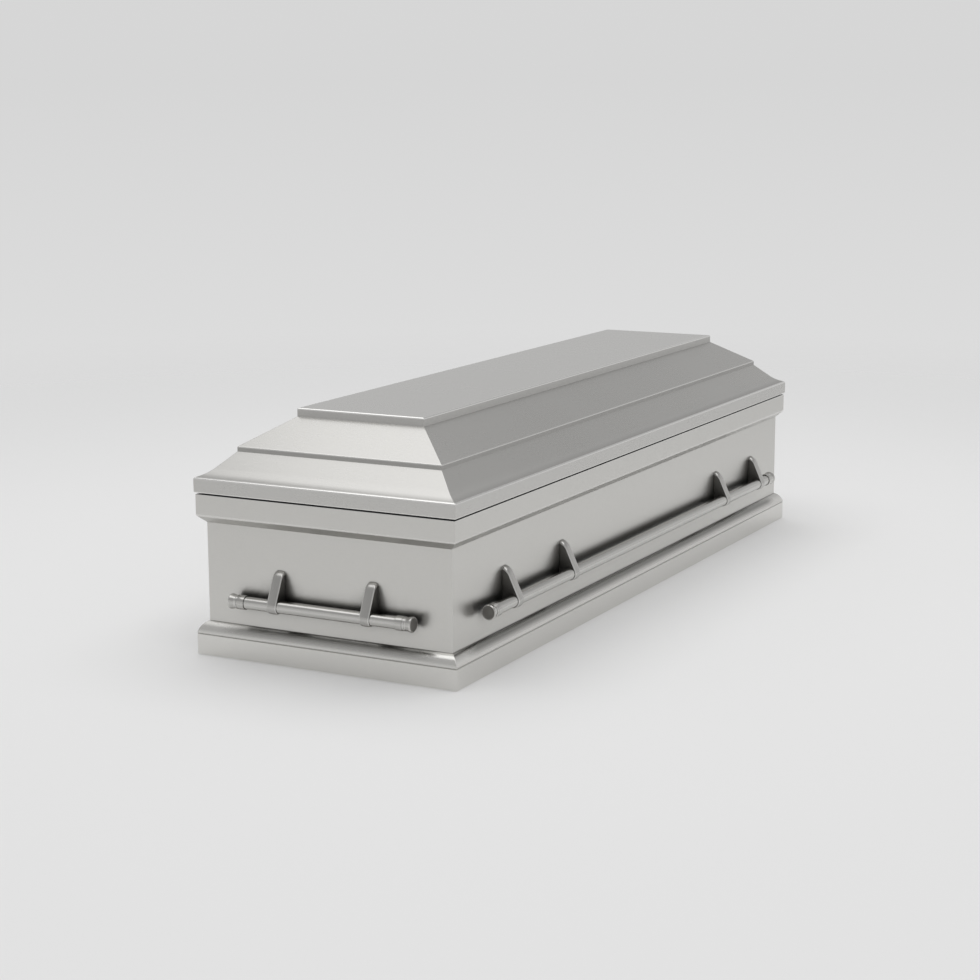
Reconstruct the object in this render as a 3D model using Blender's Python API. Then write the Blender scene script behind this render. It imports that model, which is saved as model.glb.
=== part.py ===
"""A stainless steel funeral casket: hollow box, stepped lift-off lid, moulded base, fixed bars.

Metres, +Z up. X is the length and Y the width. The origin is on the ground under the middle.
Left is -X, right is +X, front is -Y and back is +Y.

A section is drawn as a path of (inset, height) points, where the inset runs inward from the
footprint, and each point becomes one rounded rectangle round the casket.
"""
import math

import bmesh
import bpy

# Footprint over the base moulding
LENGTH = 2.134
WIDTH = 0.7054

# Sheet, fits and corners
SHEET = 0.0015
FIT_GAP = 0.0003
CORNER_RADIUS = 0.003
CORNER_STEPS = 2
FOLD_RADIUS = 0.002
FOLD_STEPS = 2
FLAT_MARGIN = 0.060
SMOOTH_ANGLE = 35.0

# Base moulding
FOOT_FLANGE_WIDTH = 0.047
FASCIA_HEIGHT = 0.0505
QUIRK_DEPTH = 0.0017
QUIRK_HEIGHT = 0.0022
OVOLO_FOOT_HEIGHT = 0.0035
OVOLO_RISE = 0.0253
OVOLO_STEPS = 6
OVOLO_LIP = 0.0006

# Casket body
WALL_INSET = 0.0220
WALL_TOP = 0.3212
RIM_INSET = 0.0034
RIM_FLARE_ANGLE = 44.0
RIM_FLARE_RADIUS = 0.008
RIM_FLARE_STEPS = 3
RIM_TOP = 0.3910
LAND_INSET = 0.0320

# Gasket between body and lid
GASKET_SETBACK = 0.0040
GASKET_WIDTH = 0.0200
GASKET_HEIGHT = 0.0029

# Lid
LID_OVERHANG = 0.0027
LID_RIM_HEIGHT = 0.0365
LID_RIM_EDGE_RADIUS = 0.0025
COVE_START_ANGLE = 16.0
COVE_END_ANGLE = 43.5
COVE_RADIUS = 0.087
COVE_STEPS = 6
MID_STEP_INSET = 0.0765
MID_STEP_HEIGHT = 0.0124
MID_STEP_EDGE_RADIUS = 0.0020
SLAB_INSET = 0.1800
UPPER_SLOPE_RISE = 0.0650
SLAB_HEIGHT = 0.0209
SLAB_EDGE_RADIUS = 0.0030
EDGE_STEPS = 3

# Bars
BAR_RADIUS = 0.0150
BAR_WALL = 0.0015
BAR_SIDES = 24
BAR_STANDOFF = 0.0280
LONG_BAR_HEIGHT = 0.1520
END_BAR_HEIGHT = 0.1445
LONG_BAR_TIP_INSET = 0.1420
END_BAR_TIP_INSET = 0.1057

# Turned tips: each point is a distance from the tube's end and a radius
TIP_LENGTH = 0.0425
TIP_SIDES = 18
SPIGOT_LENGTH = 0.0140
SPIGOT_GAP = 0.0005
SLEEVE_LENGTH = 0.0175
SLEEVE_SHOULDER = 0.0008
SLEEVE_RADIUS = 0.0173
GROOVE_RADIUS = 0.0161
BEAD_START = 0.0205
BEAD_END = 0.0245
BEAD_RADIUS = 0.0170
FLARE_START = 0.0270
RIM_START = 0.0385
RIM_END = 0.0408
TIP_RIM_RADIUS = 0.0185
TIP_FACE_RADIUS = 0.0168

# Cast arms: heights are over the bar's axis, distances are out from the wall
ARM_WIDTH = 0.0260
ARM_EDGE_RADIUS = 0.0020
ARM_EDGE_STEPS = 2
ARM_TOP_HEIGHT = 0.0805
ARM_SHOULDER_HEIGHT = 0.0615
ARM_SHOULDER_STEPS = 4
ARM_BROW_OUT = 0.0095
ARM_BROW_DROP = 0.0020
ARM_FRONT_LEAN = 24.7
ARM_UNDERSIDE_LEAN = 22.0
ARM_RING_THICKNESS = 0.0035
ARM_RING_STEPS = 8
LEFT_END_ARMS_FROM_TIP = (0.136, 0.445)
RIGHT_END_ARMS_FROM_TIP = (0.378, 0.098)
END_ARM_FROM_TIP = 0.1215

# How far each face's outward direction is turned from the front's, and each tip's from +X
FACE_TURNS = {"front": 0.0, "right": 90.0, "back": 180.0, "left": -90.0}
TIP_TURNS = {"right": 0.0, "back": 90.0, "left": 180.0, "front": -90.0}

# Heights and insets that follow from the values above
BODY_FLOOR = SHEET + FIT_GAP
GASKET_FOOT = RIM_TOP + FIT_GAP
LID_FOOT = GASKET_FOOT + GASKET_HEIGHT + FIT_GAP
LID_RIM_INSET = RIM_INSET - LID_OVERHANG
TIP_REACH = TIP_LENGTH + FIT_GAP


def clear_scene():
    """Remove what the file opened with."""
    for item in list(bpy.data.objects):
        bpy.data.objects.remove(item, do_unlink=True)


def make_material(name, colour, metallic, roughness):
    """One Principled finish."""
    material = bpy.data.materials.new(name)
    material.use_nodes = True
    shader = material.node_tree.nodes["Principled BSDF"]
    shader.inputs["Base Color"].default_value = (*colour, 1.0)
    shader.inputs["Metallic"].default_value = metallic
    shader.inputs["Roughness"].default_value = roughness
    return material


def place(name, mesh, location=(0.0, 0.0, 0.0), turn=0.0):
    """Add one piece, turned about the vertical by a number of degrees."""
    piece = bpy.data.objects.new(name, mesh)
    piece.location = location
    piece.rotation_euler = (0.0, 0.0, math.radians(turn))
    bpy.context.scene.collection.objects.link(piece)
    return piece


def finish_mesh(name, bm, material):
    """Turn a bmesh into a smooth-shaded mesh with its faces outward."""
    bmesh.ops.recalc_face_normals(bm, faces=bm.faces)
    mesh = bpy.data.meshes.new(name)
    bm.to_mesh(mesh)
    bm.free()
    mesh.shade_smooth()
    mesh.set_sharp_from_angle(angle=math.radians(SMOOTH_ANGLE))
    mesh.materials.append(material)
    return mesh


def bend(start, radius, heading, turn, steps):
    """The points of an arc after its start. Headings are in degrees, left turns are positive."""
    side = 1.0 if turn > 0.0 else -1.0
    first = math.radians(heading)
    centre_u = start[0] - side * radius * math.sin(first)
    centre_z = start[1] + side * radius * math.cos(first)
    points = []
    for step in range(1, steps + 1):
        now = first + math.radians(turn) * step / steps
        points.append((centre_u + side * radius * math.sin(now), centre_z - side * radius * math.cos(now)))
    return points


def offset_path(path, distance):
    """The path moved to the right of its travel by a distance, with mitred joints."""
    shifted = []
    for index, point in enumerate(path):
        before = path[max(index - 1, 0)]
        after = path[min(index + 1, len(path) - 1)]
        normals = []
        for first, second in ((before, point), (point, after)):
            run = (second[0] - first[0], second[1] - first[1])
            size = math.hypot(*run)
            if size > 0.0:
                normals.append((run[1] / size, -run[0] / size))
        total = (sum(normal[0] for normal in normals), sum(normal[1] for normal in normals))
        scale = distance * len(normals) / (total[0] ** 2 + total[1] ** 2)
        if len(normals) == 1:
            scale = distance
        shifted.append((point[0] + total[0] * scale, point[1] + total[1] * scale))
    return shifted


def rounded_rectangle(bm, inset, height, radius):
    """The vertices of one level round the casket, with rounded corners."""
    half_length = LENGTH / 2.0 - inset - radius
    half_width = WIDTH / 2.0 - inset - radius
    ring = []
    for corner, (side_x, side_y) in enumerate(((1, 1), (-1, 1), (-1, -1), (1, -1))):
        for step in range(CORNER_STEPS + 1):
            angle = math.radians(90.0 * (corner + step / CORNER_STEPS))
            x = side_x * half_length + radius * math.cos(angle)
            y = side_y * half_width + radius * math.sin(angle)
            ring.append(bm.verts.new((x, y, height)))
    return ring


def bridge(bm, first, second):
    """Join two rings of equal count with quads."""
    count = len(first)
    for index in range(count):
        after = (index + 1) % count
        bm.faces.new((first[index], first[after], second[after], second[index]))


def sheet_mesh(name, path, material, flat_end=None):
    """A bent sheet round the casket. Its path's flat end, if it has one, is filled across."""
    bm = bmesh.new()
    outer = [rounded_rectangle(bm, inset, height, CORNER_RADIUS) for inset, height in path]
    inner = [
        rounded_rectangle(bm, inset, height, CORNER_RADIUS - SHEET)
        for inset, height in offset_path(path, SHEET)
    ]
    for skin in (outer, inner):
        for first, second in zip(skin, skin[1:]):
            bridge(bm, first, second)
    for end in (0, -1):
        if end == flat_end:
            bm.faces.new(outer[end])
            bm.faces.new(inner[end])
        else:
            bridge(bm, outer[end], inner[end])
    return finish_mesh(name, bm, material)


def bar_frame_mesh(name, corners, material):
    """A solid frame round the casket, whose section has the given corners."""
    bm = bmesh.new()
    rings = [rounded_rectangle(bm, inset, height, CORNER_RADIUS) for inset, height in corners]
    for first, second in zip(rings, rings[1:] + rings[:1]):
        bridge(bm, first, second)
    return finish_mesh(name, bm, material)


def base_path():
    """Base moulding: foot flange, fascia, quirk and ovolo up to the wall."""
    path = [(FOOT_FLANGE_WIDTH, 0.0), (FOLD_RADIUS, 0.0)]
    path += bend(path[-1], FOLD_RADIUS, 180.0, -90.0, FOLD_STEPS)
    path.append((0.0, FASCIA_HEIGHT))
    path.append((QUIRK_DEPTH, FASCIA_HEIGHT + QUIRK_HEIGHT / 2.0))
    path.append((QUIRK_DEPTH, FASCIA_HEIGHT + QUIRK_HEIGHT))
    reach = WALL_INSET - FIT_GAP - OVOLO_LIP
    spring = FASCIA_HEIGHT + QUIRK_HEIGHT + OVOLO_FOOT_HEIGHT
    for step in range(OVOLO_STEPS + 1):
        angle = math.radians(90.0 * step / OVOLO_STEPS)
        path.append((reach * (1.0 - math.cos(angle)), spring + OVOLO_RISE * math.sin(angle)))
    path.append((reach + OVOLO_LIP, spring + OVOLO_RISE))
    return path


def body_path():
    """Casket body: floor, wall, flared rim and the land that the gasket lies on."""
    path = [(WALL_INSET + FLAT_MARGIN, BODY_FLOOR), (WALL_INSET + FOLD_RADIUS, BODY_FLOOR)]
    path += bend(path[-1], FOLD_RADIUS, 180.0, -90.0, FOLD_STEPS)
    path.append((WALL_INSET, WALL_TOP))
    lean = math.radians(RIM_FLARE_ANGLE)
    arc_start = RIM_INSET + RIM_FLARE_RADIUS * (1.0 - math.sin(lean))
    path.append((arc_start, WALL_TOP + (WALL_INSET - arc_start) * math.tan(lean)))
    heading = 180.0 - RIM_FLARE_ANGLE
    path += bend(path[-1], RIM_FLARE_RADIUS, heading, 90.0 - heading, RIM_FLARE_STEPS)
    path.append((RIM_INSET, RIM_TOP - FOLD_RADIUS))
    path += bend(path[-1], FOLD_RADIUS, 90.0, -90.0, FOLD_STEPS)
    path.append((LAND_INSET, RIM_TOP))
    return path


def lid_path():
    """Lid: land, rim, cove, mid step, upper slope and the raised top panel."""
    rim_top = LID_FOOT + LID_RIM_HEIGHT
    path = [(LAND_INSET, LID_FOOT), (LID_RIM_INSET + FOLD_RADIUS, LID_FOOT)]
    path += bend(path[-1], FOLD_RADIUS, 180.0, -90.0, FOLD_STEPS)
    path.append((LID_RIM_INSET, rim_top - LID_RIM_EDGE_RADIUS))
    path += bend(path[-1], LID_RIM_EDGE_RADIUS, 90.0, -90.0, EDGE_STEPS)
    path += bend(path[-1], COVE_RADIUS, COVE_START_ANGLE, COVE_END_ANGLE - COVE_START_ANGLE, COVE_STEPS)
    cove_inset, cove_height = path[-1]
    step_foot = cove_height + (MID_STEP_INSET - cove_inset) * math.tan(math.radians(COVE_END_ANGLE))
    step_top = step_foot + MID_STEP_HEIGHT
    slope = math.degrees(math.atan2(UPPER_SLOPE_RISE, SLAB_INSET - MID_STEP_INSET))
    path.append((MID_STEP_INSET, step_foot))
    path.append((MID_STEP_INSET, step_top - MID_STEP_EDGE_RADIUS))
    path += bend(path[-1], MID_STEP_EDGE_RADIUS, 90.0, slope - 90.0, EDGE_STEPS)
    slope_inset, slope_height = path[-1]
    slab_foot = slope_height + (SLAB_INSET - slope_inset) * math.tan(math.radians(slope))
    path.append((SLAB_INSET, slab_foot))
    path.append((SLAB_INSET, slab_foot + SLAB_HEIGHT - SLAB_EDGE_RADIUS))
    path += bend(path[-1], SLAB_EDGE_RADIUS, 90.0, -90.0, EDGE_STEPS)
    path.append((SLAB_INSET + FLAT_MARGIN, path[-1][1]))
    return path


def gasket_section():
    """Gasket: a flat rubber frame set back from the rim's face."""
    outer = RIM_INSET + GASKET_SETBACK
    inner = outer + GASKET_WIDTH
    top = GASKET_FOOT + GASKET_HEIGHT
    return ((outer, GASKET_FOOT), (outer, top), (inner, top), (inner, GASKET_FOOT))


def turned_ring(bm, along, radius, sides):
    """One ring of a piece that is turned about X."""
    ring = []
    for side in range(sides):
        angle = 2.0 * math.pi * side / sides
        ring.append(bm.verts.new((along, radius * math.cos(angle), radius * math.sin(angle))))
    return ring


def tube_mesh(name, length, material):
    """A bar: a tube along X, open at both ends."""
    bm = bmesh.new()
    half = length / 2.0
    bore = BAR_RADIUS - BAR_WALL
    section = ((-half, BAR_RADIUS), (half, BAR_RADIUS), (half, bore), (-half, bore))
    rings = [turned_ring(bm, along, radius, BAR_SIDES) for along, radius in section]
    for first, second in zip(rings, rings[1:] + rings[:1]):
        bridge(bm, first, second)
    return finish_mesh(name, bm, material)


def tip_mesh(name, material):
    """A turned tip: spigot, sleeve, groove, bead and a flare out to the end disc, along +X."""
    spigot = (BAR_RADIUS - BAR_WALL) * math.cos(math.pi / BAR_SIDES) - SPIGOT_GAP
    profile = [
        (-SPIGOT_LENGTH, spigot),
        (0.0, spigot),
        (0.0, SLEEVE_RADIUS),
        (SLEEVE_LENGTH, SLEEVE_RADIUS),
        (SLEEVE_LENGTH + SLEEVE_SHOULDER, GROOVE_RADIUS),
        (BEAD_START, BEAD_RADIUS),
        (BEAD_END, BEAD_RADIUS),
        (FLARE_START, GROOVE_RADIUS),
        (RIM_START, TIP_RIM_RADIUS),
        (RIM_END, TIP_RIM_RADIUS),
        (TIP_LENGTH, TIP_FACE_RADIUS),
    ]
    bm = bmesh.new()
    rings = [turned_ring(bm, along, radius, TIP_SIDES) for along, radius in profile]
    for first, second in zip(rings, rings[1:]):
        bridge(bm, first, second)
    bm.faces.new(rings[0])
    bm.faces.new(rings[-1])
    return finish_mesh(name, bm, material)


def bezier(first, second, third, fourth, part):
    """A point on a cubic curve."""
    rest = 1.0 - part
    weights = (rest ** 3, 3.0 * rest ** 2 * part, 3.0 * rest * part ** 2, part ** 3)
    points = (first, second, third, fourth)
    return tuple(sum(weight * point[axis] for weight, point in zip(weights, points)) for axis in (0, 1))


def arm_outline():
    """An arm from the side: out from the wall's top, down the front, round the bar, back below."""
    ring_radius = BAR_RADIUS + ARM_RING_THICKNESS
    lean = math.radians(ARM_FRONT_LEAN)
    under = math.radians(ARM_UNDERSIDE_LEAN)
    front_foot_out = BAR_STANDOFF + ring_radius * math.cos(lean)
    front_foot_height = ring_radius * math.sin(lean)
    shoulder_out = front_foot_out - (ARM_SHOULDER_HEIGHT - front_foot_height) * math.tan(lean)
    handle = (ARM_TOP_HEIGHT - ARM_SHOULDER_HEIGHT) / 2.0
    top = (FIT_GAP, ARM_TOP_HEIGHT)
    brow = (ARM_BROW_OUT, ARM_TOP_HEIGHT - ARM_BROW_DROP)
    shoulder = (shoulder_out, ARM_SHOULDER_HEIGHT)
    lead = (shoulder_out - handle * math.tan(lean), ARM_SHOULDER_HEIGHT + handle)
    outline = []
    for step in range(ARM_SHOULDER_STEPS + 1):
        outline.append(bezier(top, brow, lead, shoulder, step / ARM_SHOULDER_STEPS))
    sweep = math.pi / 2.0 + lean + under
    for step in range(ARM_RING_STEPS + 1):
        angle = lean - sweep * step / ARM_RING_STEPS
        outline.append((BAR_STANDOFF + ring_radius * math.cos(angle), ring_radius * math.sin(angle)))
    last_out, last_height = outline[-1]
    outline.append((FIT_GAP, last_height + (last_out - FIT_GAP) * math.tan(under)))
    return outline


def arm_slice(bm, outline, along, inset):
    """The arm's outline at one place along the bar, drawn in by the inset but kept on the wall."""
    drawn_in = offset_path(outline, inset)
    ring = []
    for index, (out, height) in enumerate(drawn_in):
        if index in (0, len(drawn_in) - 1):
            out = FIT_GAP
        ring.append(bm.verts.new((along, BAR_STANDOFF - out, height)))
    return ring


def arm_mesh(name, material):
    """A cast arm round the bar's axis, which is local X. Its foot stands against the wall at +Y."""
    bm = bmesh.new()
    outline = arm_outline()
    slices = []
    for side in (-1.0, 1.0):
        steps = range(ARM_EDGE_STEPS + 1)
        if side > 0.0:
            steps = reversed(steps)
        for step in steps:
            angle = math.radians(90.0 * step / ARM_EDGE_STEPS)
            inset = ARM_EDGE_RADIUS * (1.0 - math.sin(angle))
            along = side * (ARM_WIDTH / 2.0 - ARM_EDGE_RADIUS * (1.0 - math.cos(angle)))
            slices.append(arm_slice(bm, outline, along, inset))
    for first, second in zip(slices, slices[1:]):
        bridge(bm, first, second)
    bore = BAR_RADIUS + FIT_GAP
    holes = [turned_ring(bm, side * ARM_WIDTH / 2.0, bore, BAR_SIDES) for side in (-1.0, 1.0)]
    bridge(bm, *holes)
    for outer, hole in ((slices[0], holes[0]), (slices[-1], holes[1])):
        edges = []
        for loop in (outer, hole):
            for first, second in zip(loop, loop[1:] + loop[:1]):
                edges.append(bm.edges.get((first, second)))
        bmesh.ops.triangle_fill(bm, use_beauty=True, edges=edges)
    return finish_mesh(name, bm, material)


def face_point(face, along, out, height):
    """A point on one face of the casket: along it, out from its wall, and up."""
    half_length = LENGTH / 2.0 - WALL_INSET
    half_width = WIDTH / 2.0 - WALL_INSET
    if face == "front":
        return (along, -half_width - out, height)
    if face == "back":
        return (along, half_width + out, height)
    if face == "left":
        return (-half_length - out, along, height)
    return (half_length + out, along, height)


def add_handle(face, span, height, stations, end_names, meshes):
    """One bar with its two tips and its arms. Stations name each arm and give its place."""
    turn = FACE_TURNS[face]
    tube, tip, arm = meshes
    place("bar_" + face, tube, face_point(face, 0.0, BAR_STANDOFF, height), turn)
    for sign, end_name in zip((-1.0, 1.0), end_names):
        along = sign * (span / 2.0 - TIP_LENGTH)
        name = "bar_" + face + "_tip_" + end_name
        place(name, tip, face_point(face, along, BAR_STANDOFF, height), TIP_TURNS[end_name])
    for label, along in stations:
        name = "bar_" + face + "_arm_" + label
        place(name, arm, face_point(face, along, BAR_STANDOFF, height), turn)


def long_stations(span):
    """The four arms of a long bar, numbered from the left, placed from the bar's tips."""
    places = [-span / 2.0 + distance for distance in LEFT_END_ARMS_FROM_TIP]
    places += [span / 2.0 - distance for distance in RIGHT_END_ARMS_FROM_TIP]
    return [(str(number), along) for number, along in enumerate(places, start=1)]


def build_casket():
    """Build every piece where it belongs."""
    clear_scene()
    base_steel = make_material("base_steel", (0.62, 0.61, 0.59), 1.0, 0.34)
    body_steel = make_material("body_steel", (0.64, 0.63, 0.61), 1.0, 0.36)
    lid_steel = make_material("lid_steel", (0.66, 0.65, 0.63), 1.0, 0.34)
    gasket_rubber = make_material("gasket_rubber", (0.02, 0.02, 0.02), 0.0, 0.70)
    bar_steel = make_material("bar_steel", (0.58, 0.57, 0.55), 1.0, 0.24)
    tip_steel = make_material("tip_steel", (0.60, 0.59, 0.57), 1.0, 0.24)
    arm_steel = make_material("arm_steel", (0.56, 0.55, 0.53), 1.0, 0.28)

    place("base_moulding", sheet_mesh("base_moulding", base_path(), base_steel))
    place("casket_body", sheet_mesh("casket_body", body_path(), body_steel, flat_end=0))
    place("lid_gasket", bar_frame_mesh("lid_gasket", gasket_section(), gasket_rubber))
    place("casket_lid", sheet_mesh("casket_lid", lid_path(), lid_steel, flat_end=-1))

    long_span = LENGTH - 2.0 * LONG_BAR_TIP_INSET
    end_span = WIDTH - 2.0 * END_BAR_TIP_INSET
    long_tube = tube_mesh("long_bar", long_span - 2.0 * TIP_REACH, bar_steel)
    end_tube = tube_mesh("end_bar", end_span - 2.0 * TIP_REACH, bar_steel)
    tip = tip_mesh("bar_tip", tip_steel)
    arm = arm_mesh("bar_arm", arm_steel)
    end_place = end_span / 2.0 - END_ARM_FROM_TIP
    end_stations = [("front", -end_place), ("back", end_place)]
    for face in ("front", "back"):
        meshes = (long_tube, tip, arm)
        add_handle(face, long_span, LONG_BAR_HEIGHT, long_stations(long_span), ("left", "right"), meshes)
    for face in ("left", "right"):
        meshes = (end_tube, tip, arm)
        add_handle(face, end_span, END_BAR_HEIGHT, end_stations, ("front", "back"), meshes)


build_casket()
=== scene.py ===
"""A stainless steel funeral casket, dressed for a plain studio picture.

Metres, +Z up. X runs along the length and Y across the width. Left is -X, right is +X, front is -Y
and back is +Y. The floor is at zero, under the middle of the casket.

A sheet's section is drawn as a path of (inset, height) points. The inset runs inward from the outer
edge of the base moulding, and each point becomes one rounded rectangle round the casket.
"""

import logging
import math
from dataclasses import dataclass
from enum import Enum
from typing import Any, ClassVar, Sequence

import bmesh
import bpy
from mathutils import Matrix, Vector


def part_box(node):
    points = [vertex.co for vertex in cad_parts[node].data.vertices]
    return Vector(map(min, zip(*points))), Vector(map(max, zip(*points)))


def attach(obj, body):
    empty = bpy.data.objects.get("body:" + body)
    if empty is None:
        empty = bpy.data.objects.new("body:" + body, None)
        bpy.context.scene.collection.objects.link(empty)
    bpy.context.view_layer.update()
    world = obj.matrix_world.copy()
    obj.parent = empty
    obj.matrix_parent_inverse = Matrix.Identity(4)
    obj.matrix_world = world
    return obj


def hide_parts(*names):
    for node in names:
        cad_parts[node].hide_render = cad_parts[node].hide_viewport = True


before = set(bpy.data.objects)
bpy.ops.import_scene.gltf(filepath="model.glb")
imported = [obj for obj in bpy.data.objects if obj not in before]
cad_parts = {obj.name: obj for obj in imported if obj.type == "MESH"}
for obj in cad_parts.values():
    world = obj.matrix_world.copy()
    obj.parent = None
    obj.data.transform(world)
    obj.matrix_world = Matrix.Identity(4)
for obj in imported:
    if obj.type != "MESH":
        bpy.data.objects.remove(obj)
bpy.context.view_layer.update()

LOG = logging.getLogger("casket")
BODY = "root"
RUN_MAP = "run"
EDGE_LAYER = "edge"
DULL_AND_SHADE_LAYER = "dull"
TURN_LAYER = "turn"
SHARP_ANGLE = math.radians(35.0)

Point = tuple[float, float]
Colour = tuple[float, float, float]
Finishes = dict[str, bpy.types.Material]


class Face(Enum):
    """A side of the casket, with how far its outward direction is turned from the front's."""

    FRONT = 0.0
    RIGHT = 90.0
    BACK = 180.0
    LEFT = -90.0

    @property
    def word(self) -> str:
        """The face's name, as the nodes spell it."""
        return self.name.lower()

    @property
    def turn(self) -> float:
        """The turn from the front, in radians."""
        return math.radians(self.value)

    @property
    def ends(self) -> tuple["Face", "Face"]:
        """The faces that the two ends of this face's bar point to."""
        if self in (Face.FRONT, Face.BACK):
            return (Face.LEFT, Face.RIGHT)
        return (Face.FRONT, Face.BACK)

    @property
    def outward(self) -> Vector:
        """The direction out of the casket."""
        return Matrix.Rotation(self.turn, 3, "Z") @ Vector((0.0, -1.0, 0.0))


class Skin(Enum):
    """The two sides of a sheet."""

    OUTER = 0
    INNER = 1


class FlatEnd(Enum):
    """Which end of a section is filled across, if any."""

    NONE = "none"
    FIRST = "first"
    LAST = "last"


# Shader and geometry nodes


class Number:
    """A number that changes over a surface. Ordinary arithmetic on it adds Math nodes."""

    def __init__(self, tree: "NodeTree", socket: bpy.types.NodeSocket) -> None:
        """Wrap a socket.

        Args:
            tree: The tree that the socket belongs to.
            socket: The output that carries the number.
        """
        self.tree = tree
        self.socket = socket

    def _joined(self, operation: str, first: Any, second: Any) -> "Number":
        """Add one Math node.

        Args:
            operation: The Math node's operation.
            first: Its first value, a Number or a float.
            second: Its second value, a Number or a float.

        Returns:
            The node's result.
        """
        node = self.tree.add("ShaderNodeMath", {"operation": operation}, {0: first, 1: second})
        return Number(self.tree, node.outputs[0])

    def __add__(self, other: Any) -> "Number":
        """This number plus another."""
        return self._joined("ADD", self, other)

    def __radd__(self, other: Any) -> "Number":
        """Another number plus this one."""
        return self._joined("ADD", other, self)

    def __sub__(self, other: Any) -> "Number":
        """This number less another."""
        return self._joined("SUBTRACT", self, other)

    def __rsub__(self, other: Any) -> "Number":
        """Another number less this one."""
        return self._joined("SUBTRACT", other, self)

    def __mul__(self, other: Any) -> "Number":
        """This number times another."""
        return self._joined("MULTIPLY", self, other)

    def clamped(self) -> "Number":
        """This number, held between 0 and 1."""
        settings = {"operation": "ADD", "use_clamp": True}
        return Number(self.tree, self.tree.add("ShaderNodeMath", settings, {0: self, 1: 0.0}).outputs[0])


class NodeTree:
    """A node tree whose nodes all come from one method."""

    noise_roughness: float = 0.55
    mix_first: int = 6
    mix_second: int = 7
    mix_result: int = 2

    def __init__(self, tree: bpy.types.NodeTree) -> None:
        """Start from an empty tree.

        Args:
            tree: The tree to fill. What it holds is cleared.
        """
        self.tree = tree
        self.tree.nodes.clear()

    def add(self, kind: str, settings: dict[str, Any], inputs: dict[Any, Any]) -> bpy.types.Node:
        """Add a node, set it, and then feed it.

        Args:
            kind: The node's type.
            settings: Its settings. The setting "stops" gives a ramp's (place, colour) stops.
            inputs: A value, a socket or a Number for each input's name or number.

        Returns:
            The new node.
        """
        node = self.tree.nodes.new(kind)
        for key, value in settings.items():
            if key == "stops":
                self._set_stops(node.color_ramp, value)
            else:
                setattr(node, key, value)
        for key, value in inputs.items():
            if isinstance(value, Number):
                value = value.socket
            if isinstance(value, bpy.types.NodeSocket):
                self.tree.links.new(value, node.inputs[key])
            else:
                node.inputs[key].default_value = value
        return node

    def _set_stops(self, ramp: bpy.types.ColorRamp, stops: Sequence[tuple[float, Colour]]) -> None:
        """Give a ramp its stops.

        Args:
            ramp: The ramp, with its two first stops.
            stops: The (place, colour) stops, from low to high.
        """
        while len(ramp.elements) < len(stops):
            ramp.elements.new(0.5)
        for element, (place, colour) in zip(ramp.elements, stops):
            element.position = place
            element.color = (*colour, 1.0)

    def noise(self, vector: bpy.types.NodeSocket, scale: float, detail: float) -> Number:
        """A noise value from 0 to 1.

        Args:
            vector: The coordinates that it follows.
            scale: How many features there are to a unit.
            detail: How many finer layers are added.

        Returns:
            The noise.
        """
        sizes = {"Vector": vector, "Scale": scale, "Detail": detail, "Roughness": self.noise_roughness}
        return Number(self, self.add("ShaderNodeTexNoise", {}, sizes).outputs[0])

    def layer(self, name: str) -> Number:
        """A number that a mesh carries at its points."""
        return Number(self, self.add("ShaderNodeAttribute", {"attribute_name": name}, {}).outputs["Fac"])

    def blend(self, share: Number, first: Any, second: Any) -> bpy.types.NodeSocket:
        """Blend two colours.

        Args:
            share: How much of the second colour there is.
            first: The colour at 0.
            second: The colour at 1.

        Returns:
            The blended colour.
        """
        inputs = {0: share, self.mix_first: first, self.mix_second: second}
        return self.add("ShaderNodeMix", {"data_type": "RGBA"}, inputs).outputs[self.mix_result]

    def surface(self, shader: bpy.types.Node) -> None:
        """Let a shader be the surface of the tree's material."""
        self.add("ShaderNodeOutputMaterial", {}, {"Surface": shader.outputs[0]})


def blank_material(name: str) -> tuple[bpy.types.Material, NodeTree]:
    """Make a material with an empty tree.

    Args:
        name: The material's name.

    Returns:
        The material and its tree.
    """
    material = bpy.data.materials.new(name)
    material.use_nodes = True
    return material, NodeTree(material.node_tree)


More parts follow.
